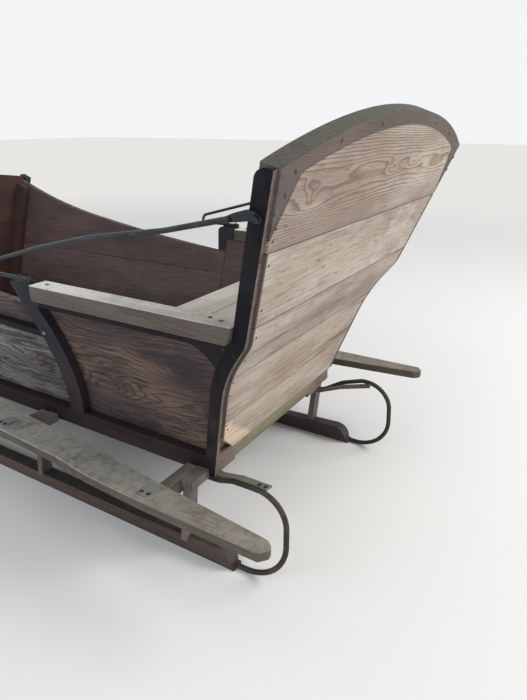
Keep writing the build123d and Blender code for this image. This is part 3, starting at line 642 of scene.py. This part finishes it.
def back_board(node, middle, half, count, bend, wave, lines, streaks, white, knots):
    """A bare back board: pale, with year rings, brown streaks, washed places, nicks and darker long edges."""
    finish = Finish(node + "_wood")
    x, _, z = finish.parts(finish.place)
    flat, late, fibre, patch = board_rings(finish, x, z, middle, half, count, bend, wave, knots)
    colour = finish.tint(finish.step(patch, 0.34, 0.66), BACK_PALE, BACK_DARK)
    streak = finish.speckle(finish.stretch(flat, (2.6, 42.0, 1.0)), 1.0, 4.0, 0.62)
    band = finish.speckle(finish.stretch(flat, (1.6, 9.0, 1.0), (7.0, 0, 0)), 1.0, 2.0)
    brown = finish.step(streak, 0.50, 0.66) * finish.step(band, 0.40, 0.60) * streaks
    colour = finish.tint(brown, colour, STREAK_BROWN)
    washed = finish.speckle(finish.stretch(finish.place, (4.0, 4.0, 11.0)), 1.0, 5.0, 0.66)
    colour = finish.tint(finish.step(washed, 0.48, 0.64, white), colour, WASHED_WHITE)
    if node == "back_board_5":
        sawn_corner = finish.step(x * 0.70 - z + 0.156 + band * 0.04, 0.0, 0.022)
        colour = finish.tint(sawn_corner, colour, FRESH_WOOD)
    colour = finish.tint(late * lines * finish.step(patch, 0.16, 0.50), colour, BACK_LATE)
    colour = finish.tint(finish.step(fibre, 0.48, 0.72, 0.55), colour, BACK_LATE)
    nick = finish.speckle(finish.stretch(flat, (30.0, 150.0, 1.0)), 1.0, 2.0)
    colour = finish.tint(finish.step(nick, 0.675, 0.73, 0.65), colour, NICK_BROWN)
    colour = finish.tint(finish.step(abs((z - middle) / half), 0.90, 1.02, 0.35), colour, SEAM_BROWN)
    if node == "back_board_1":
        colour = top_board_spots(finish, colour, x, z)
    # Painted shadow along the joints, where the post and the crest stand proud of the board.
    colour = finish.tint(painted_joint_shadow(finish, node, x, z), colour, JOINT_SHADOW_BLACK)
    height = late * lines * 0.5 - fibre * 0.5 - finish.step(nick, 0.68, 0.73)
    return finish.cover(colour, 0.85 - late * 0.06, height, 0.0018, 0.65)


BACK_TABLE = (
    # node, middle height, half height, rings, bend, wave, ring lines, brown streaks, white,
    # knots as (out to the left, height, half length, half height, rings thrown)
    ("back_board_1", 0.951, 0.098, 13.0, 1.75, 4.2, 0.80, 0.25, 0.10,
     ((0.418, 0.955, 0.017, 0.012, 1.15), (0.390, 0.951, 0.021, 0.012, 1.1),
      (0.397, 0.931, 0.018, 0.014, 1.1), (0.392, 0.910, 0.095, 0.014, 1.9),
      (0.009, 0.957, 0.034, 0.016, 2.0), (-0.030, 0.948, 0.022, 0.010, 1.2),
      (-0.129, 0.960, 0.050, 0.011, 1.5), (-0.330, 0.950, 0.070, 0.018, 1.3),
      (0.17, 0.972, 0.10, 0.012, -1.2))),
    ("back_board_2", 0.769, 0.080, 5.0, 1.30, 7.0, 0.22, 0.40, 0.60,
     ((0.323, 0.820, 0.014, 0.009, 1.5), (0.158, 0.786, 0.016, 0.010, 1.5))),
    ("back_board_3", 0.618, 0.072, 7.0, 1.25, 8.0, 0.32, 0.85, 0.30, ((-0.10, 0.640, 0.03, 0.010, 1.5),)),
    ("back_board_4", 0.475, 0.072, 7.0, 1.30, 8.0, 0.34, 1.00, 0.05, ((0.217, 0.458, 0.020, 0.010, 1.8),)),
    ("back_board_5", 0.346, 0.060, 6.0, 1.30, 8.0, 0.30, 0.55, 0.45, ((-0.066, 0.393, 0.020, 0.010, 1.8),)))
for row in BACK_TABLE:
    finish_of(back_board(*row), row[0])

BEHIND_ALL = 3.0
BOARD_NAILS = (
    # board, height, distance in from its end
    (1, 0.867, 0.009), (1, 0.889, 0.012), (2, 0.822, 0.010), (2, 0.728, 0.014), (3, 0.664, 0.012),
    (3, 0.596, 0.016), (4, 0.533, 0.008), (4, 0.489, 0.010), (4, 0.424, 0.013), (5, 0.392, 0.009),
    (5, 0.374, 0.014))
small_nail = forged_head("small_nail", sides=10, width=0.0062, thick=0.0006, steps=(
    (0.0010, 0.0006), (0.0012, 0.0002)))


def board_end(name, height):
    """Half the width of a back board at a height, found from behind."""
    reach = 0.55
    while reach > 0.1 and not nodes[name].ray_cast(Vector((reach, BEHIND_ALL, height)), Vector(FORWARD))[0]:
        reach -= 0.003
    return reach


spots = []
for board, height, inward in BOARD_NAILS:
    name = "back_board_%d" % board
    spots += [face_met([name], (hand * (board_end(name, height) - inward), BEHIND_ALL, height), FORWARD)
              for hand in (1, -1)]
drive_in(small_nail, "board_nails", dark_head_iron, spots)

# Crest: an arched board nailed over the top, its feet tapering down over the posts, brown and
# mauve behind, grey-green on top where lichen grows.


def crest_wood():
    """The crest's wood: brown behind, mauve towards its feet, grey-green with lichen on top."""
    finish = Finish("crest_wood")
    rings, fibre, patch = grain(finish, "X", (0, 2.1, 1.0), (0.03, -0.3), 0.0045, wave=0.030)
    colour = finish.tint(finish.step(patch, 0.32, 0.68), (0.172, 0.130, 0.104), (0.102, 0.077, 0.066))
    colour = finish.tint(finish.step(fibre, 0.46, 0.70, 0.5), colour, (0.070, 0.052, 0.048))
    colour = finish.tint(rings * 0.30, colour, (0.060, 0.044, 0.041))
    feet = 1.0 - finish.step(finish.parts(finish.place)[2], 0.93, 1.02)
    colour = finish.tint(feet * 0.6, colour, (0.098, 0.082, 0.080))
    lichen = finish.step(finish.speckle(finish.place, 30.0, 5.0, 0.7), 0.34, 0.54)
    top_wood = finish.tint(finish.step(fibre, 0.40, 0.64), (0.072, 0.062, 0.052), (0.034, 0.028, 0.025))
    top_wood = finish.tint(lichen * 0.6, top_wood, (0.076, 0.076, 0.054))
    colour = finish.tint(finish.step(finish.facing()[2], 0.35, 0.75), colour, top_wood)
    return finish.cover(colour, 0.85, rings * 0.3 - fibre * 0.6, 0.0015, 0.6)


finish_of(crest_wood(), "crest")
CREST_NAILS = (
    # out from the middle, height
    (0.485, 0.980), (0.521, 0.951), (0.494, 0.944), (0.509, 0.917), (0.350, 1.021), (0.184, 1.047))
large_nail = forged_head("large_nail", sides=14, width=0.0105, thick=0.0010, steps=(
    (0.0015, 0.0014), (0.0021, 0.0006)))
worn_head_iron = forged_iron("worn_head_iron", dark=(0.090, 0.080, 0.078), rust=(0.105, 0.070, 0.052),
                             rub_and_sheen=(0.20, 0.19, 0.18))
drive_in(large_nail, "crest_nails", worn_head_iron, [
    face_met(["crest"], place, FORWARD)
    for place in both_sides([(x, BEHIND_ALL, height) for x, height in CREST_NAILS])])

# Arm boards: a thick plank along each side of the seat, bare, washed pale on top and brown on its sawn
# sides, nailed down at its front end and beside the rear post. Painted shade darkens the sides further,
# and painted light turns the tops paler towards the front.
finish_of(old_wood(
    "arm_wood", "Y", centre=(0, 1.7, 0.67), pith=(0.0, -0.09), ring=0.008, pale=(0.520, 0.480, 0.420),
    dark=(0.360, 0.325, 0.280), late=(0.160, 0.135, 0.112), late_amount=0.45, dirt=(0.100, 0.080, 0.066),
    dirt_amount=0.35, edge=(0.080, 0.058, 0.045), bleach=(0.66, 0.64, 0.58),
    painted_light_forward=(1.90, 1.45, 0.75, (0.68, 0.67, 0.62))), "arm_board_left", "arm_board_right")
OVER_ARMS = 0.9
ARM_NAILS = (
    # out from the middle, station
    (0.430, 0.239), (0.437, 0.208), (0.436, 0.712))
drive_in(large_nail, "arm_nails", worn_head_iron, [
    face_met(["arm_board_left", "arm_board_right"], place, DOWN)
    for place in both_sides([(x, fore(station), OVER_ARMS) for x, station in ARM_NAILS])])

# Hand rails: round iron forged to an eye on the rear post, led forward over the arm and turned back
# on the head of the curved post, where bolts hold it. Rubbed bright in streaks along it, and bluish there
# with painted sheen.
# The bluish rubbed streaks are partly painted sheen.
finish_of(forged_iron("rod_iron", dark=(0.013, 0.017, 0.024), rust=(0.040, 0.032, 0.031),
                      rub_and_sheen=(0.10, 0.14, 0.18), rust_amount=0.40, rub_and_sheen_amount=0.4, rough=0.40,
                      rub_and_sheen_grain=(60, 14, 60)), "arm_rod_left", "arm_rod_right")
OVER_ROD_ENDS = 0.72
ROD_BOLTS = (
    # out from the middle, station
    (0.445, 0.764), (0.445, 0.798))
drive_in(round_bolt, "rod_bolts", dark_head_iron, [
    face_met(["arm_rod_left", "arm_rod_right"], place, DOWN)
    for place in both_sides([(x, fore(station), OVER_ROD_ENDS) for x, station in ROD_BOLTS])])

# Seat and front: three bare boards on cleats and a riser, washed pale and nailed down along both ends,
# and cross boards nailed to two battens that close the front, painted dark red as the riser is.
finish_of(old_wood(
    "seat_wood", "X", centre=(0, 1.7, 0.53), pith=(0.0, -0.12), ring=0.011, pale=(0.600, 0.550, 0.470),
    dark=(0.470, 0.420, 0.350), late=(0.26, 0.215, 0.17), late_amount=0.4, dirt=(0.34, 0.295, 0.245),
    bleach=(0.64, 0.61, 0.56)), "seat_boards")
finish_of(painted_wood("inside_paint", "X", (0.080, 0.040, 0.033), (0.056, 0.031, 0.028),
                       (0.13, 0.09, 0.075), 0.71),
          "seat_riser", "seat_cleats", "front_boards", "front_battens")
OVER_SEAT, SEAT_NAIL_OUT = 0.6, 0.335
SEAT_NAIL_ROWS = (1.555, 1.640, 1.690, 1.770, 1.815, 1.880)
AHEAD_OF_FRONT = -1.0
FRONT_NAIL_OUT, FRONT_NAIL_HEIGHTS = (-0.29, -0.26, 0.26, 0.29), (0.30, 0.40, 0.48, 0.58, 0.66, 0.76)
drive_in(small_nail, "seat_nails", dark_head_iron, [
    face_met(["seat_boards"], (x, y, OVER_SEAT), DOWN)
    for x in (-SEAT_NAIL_OUT, SEAT_NAIL_OUT) for y in SEAT_NAIL_ROWS])
drive_in(small_nail, "front_nails", dark_head_iron, [
    face_met(["front_boards"], (x, AHEAD_OF_FRONT, z), REARWARD)
    for x in FRONT_NAIL_OUT for z in FRONT_NAIL_HEIGHTS])

# Shafts and singletree: round ash poles in iron ferrules on the nose bar, a cross bar, and a swinging
# bar that the horse's traces hook to. Brown and rubbed smooth.
ASH = {"pith": (0.02, -0.03), "ring": 0.006, "pale": (0.26, 0.165, 0.10), "dark": (0.16, 0.095, 0.058),
       "late": (0.07, 0.042, 0.030), "late_amount": 0.5, "dirt": (0.09, 0.065, 0.05), "rough": 0.6}
finish_of(old_wood("shaft_wood", "Y", centre=(0.28, -1, 0.2), **ASH), "shaft_left", "shaft_right")
finish_of(old_wood("bar_wood", "X", centre=(0, -0.36, 0.32), **ASH), "shaft_crossbar", "singletree")
finish_of(forged_iron("fitting_iron", dark=(0.045, 0.038, 0.036), rust=(0.11, 0.062, 0.040),
                      rub_and_sheen=(0.24, 0.22, 0.20), rust_amount=0.6),
          "shaft_eyes", "singletree_pin", "singletree_tongues")
# The three loose heads that the nails and bolts were copied from aren't part of the sleigh.
for pattern in (round_bolt, small_nail, large_nail):
    bpy.data.objects.remove(pattern)
